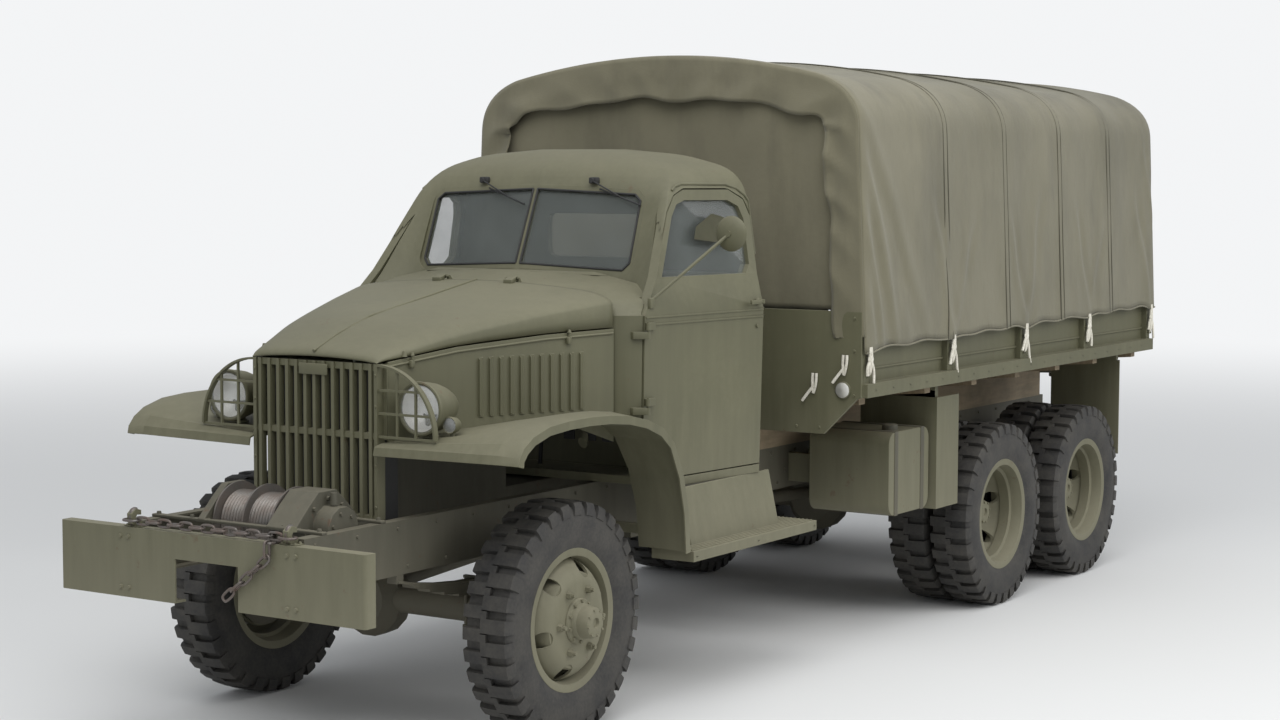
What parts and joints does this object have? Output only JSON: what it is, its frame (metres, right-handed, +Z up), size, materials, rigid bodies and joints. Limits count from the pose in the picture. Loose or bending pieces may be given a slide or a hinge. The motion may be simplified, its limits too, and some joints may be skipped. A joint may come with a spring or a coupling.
{
  "type": "military cargo truck",
  "caption": "Six-wheel-drive military cargo truck with a closed cab, front winch, tow chain, bow-and-canvas cargo cover and twin rear wheels, in weathered olive drab.",
  "frame": {"origin": "On the ground under the middle of the truck's bounding box. The front axle is 2.253 m towards -Y.", "axes": "+Z is up, -Y is the way the truck faces, +X is the truck's own left (driver's) side."},
  "size_m": [2.235, 6.9018, 2.7938],
  "materials": {
    "olive_paint": "matte olive drab paint, dusty",
    "chassis_paint": "matte olive paint under road dirt",
    "canvas": "weathered khaki canvas",
    "rubber_tyre": "worn, dusty tyre rubber",
    "bare_steel": "rusty bare steel",
    "window_glass": "dusty clear glass",
    "lens_glass": "clear lamp glass",
    "seat_cloth": "olive duck cloth",
    "black_rubber": "black moulded rubber",
    "deck_wood": "worn painted planks"
  },
  "bodies": {
    "chassis": {"frame": "chassis_paint", "front_bumper": "olive_paint", "tow_chain": "bare_steel", "winch_housing": "chassis_paint", "radiator": "chassis_paint", "grille": "olive_paint", "lamps": "olive_paint", "lamp_lenses": "lens_glass", "hood_sides": "olive_paint", "front_fenders": "olive_paint", "cab_shell": "olive_paint", "cab_floor": "olive_paint", "windshield_frame": "olive_paint", "cab_glass": "window_glass", "seat_base": "olive_paint", "seat_cushions": "seat_cloth", "dashboard": "olive_paint", "running_boards": "olive_paint", "powertrain": "chassis_paint", "axles": "chassis_paint", "leaf_springs": "chassis_paint", "prop_shafts": "chassis_paint", "fuel_tank": "olive_paint", "exhaust": "bare_steel", "spare_tyre": "rubber_tyre", "spare_wheel": "olive_paint", "cargo_floor": "deck_wood", "cargo_sides": "olive_paint", "cover_bows": "deck_wood", "canvas_cover": "canvas", "end_curtains": "canvas", "splash_guards": "olive_paint"},
    "winch_drum_body": {"winch_drum": "chassis_paint"},
    "hood_body": {"hood": "olive_paint"},
    "left_door_body": {"left_door": "olive_paint", "left_door_glass": "window_glass", "mirror": "olive_paint"},
    "right_door_body": {"right_door": "olive_paint", "right_door_glass": "window_glass"},
    "steering_wheel_body": {"steering_wheel": "black_rubber"},
    "knuckle_left_body": {"knuckle_left": "chassis_paint"},
    "knuckle_right_body": {"knuckle_right": "chassis_paint"},
    "tie_rod_body": {"tie_rod": "chassis_paint"},
    "front_left": {"front_left_tyre": "rubber_tyre", "front_left_wheel": "olive_paint"},
    "front_right": {"front_right_tyre": "rubber_tyre", "front_right_wheel": "olive_paint"},
    "mid_left": {"mid_left_tyres": "rubber_tyre", "mid_left_wheels": "olive_paint"},
    "mid_right": {"mid_right_tyres": "rubber_tyre", "mid_right_wheels": "olive_paint"},
    "rear_left": {"rear_left_tyres": "rubber_tyre", "rear_left_wheels": "olive_paint"},
    "rear_right": {"rear_right_tyres": "rubber_tyre", "rear_right_wheels": "olive_paint"},
    "tailgate_body": {"tailgate": "olive_paint"}
  },
  "joints": [
    {"name": "steer_left", "type": "hinge", "parent": "chassis", "child": "knuckle_left_body", "pos_m": [0.64, -2.25312, 0.472], "axis": [0, 0, 1], "range_deg": [-28, 28]},
    {"name": "steer_right", "type": "hinge", "parent": "chassis", "child": "knuckle_right_body", "pos_m": [-0.64, -2.25312, 0.472], "axis": [0, 0, 1], "range_deg": [-28, 28]},
    {"name": "tie_rod_pivot", "type": "hinge", "parent": "knuckle_left_body", "child": "tie_rod_body", "pos_m": [0.64, -2.00312, 0.4], "axis": [0, 0, 1], "range_deg": [-28, 28]},
    {"name": "steering_wheel_turn", "type": "hinge", "parent": "chassis", "child": "steering_wheel_body", "pos_m": [0.38, -1.22311, 1.53], "axis": [0, 0.5, 0.866], "range_deg": [-560, 560]},
    {"name": "front_left_spin", "type": "hinge", "parent": "knuckle_left_body", "child": "front_left", "pos_m": [0.765, -2.25312, 0.472], "axis": [1, 0, 0], "continuous": true},
    {"name": "front_right_spin", "type": "hinge", "parent": "knuckle_right_body", "child": "front_right", "pos_m": [-0.765, -2.25312, 0.472], "axis": [1, 0, 0], "continuous": true},
    {"name": "mid_left_spin", "type": "hinge", "parent": "chassis", "child": "mid_left", "pos_m": [0.872, 1.35389, 0.472], "axis": [1, 0, 0], "continuous": true},
    {"name": "mid_right_spin", "type": "hinge", "parent": "chassis", "child": "mid_right", "pos_m": [-0.872, 1.35389, 0.472], "axis": [1, 0, 0], "continuous": true},
    {"name": "rear_left_spin", "type": "hinge", "parent": "chassis", "child": "rear_left", "pos_m": [0.872, 2.47188, 0.472], "axis": [1, 0, 0], "continuous": true},
    {"name": "rear_right_spin", "type": "hinge", "parent": "chassis", "child": "rear_right", "pos_m": [-0.872, 2.47188, 0.472], "axis": [1, 0, 0], "continuous": true},
    {"name": "left_door_hinge", "type": "hinge", "parent": "chassis", "child": "left_door_body", "pos_m": [0.815, -1.64712, 1.5], "axis": [0, 0, -1], "range_deg": [0, 65]},
    {"name": "right_door_hinge", "type": "hinge", "parent": "chassis", "child": "right_door_body", "pos_m": [-0.815, -1.64712, 1.5], "axis": [0, 0, 1], "range_deg": [0, 65]},
    {"name": "hood_hinge", "type": "hinge", "parent": "chassis", "child": "hood_body", "pos_m": [0, -1.73511, 1.782], "axis": [-1, 0, 0], "range_deg": [0, 60]},
    {"name": "tailgate_hinge", "type": "hinge", "parent": "chassis", "child": "tailgate_body", "pos_m": [0, 3.43689, 1.196], "axis": [-1, 0, 0], "range_deg": [0, 90]},
    {"name": "winch_spin", "type": "hinge", "parent": "chassis", "child": "winch_drum_body", "pos_m": [0, -3.06812, 0.895], "axis": [1, 0, 0], "continuous": true}
  ],
  "couplings": [
    {"joint": "steer_right", "follows": "steer_left", "ratio": 1},
    {"joint": "tie_rod_pivot", "follows": "steer_left", "ratio": -1},
    {"joint": "steering_wheel_turn", "follows": "steer_left", "ratio": 20}
  ]
}
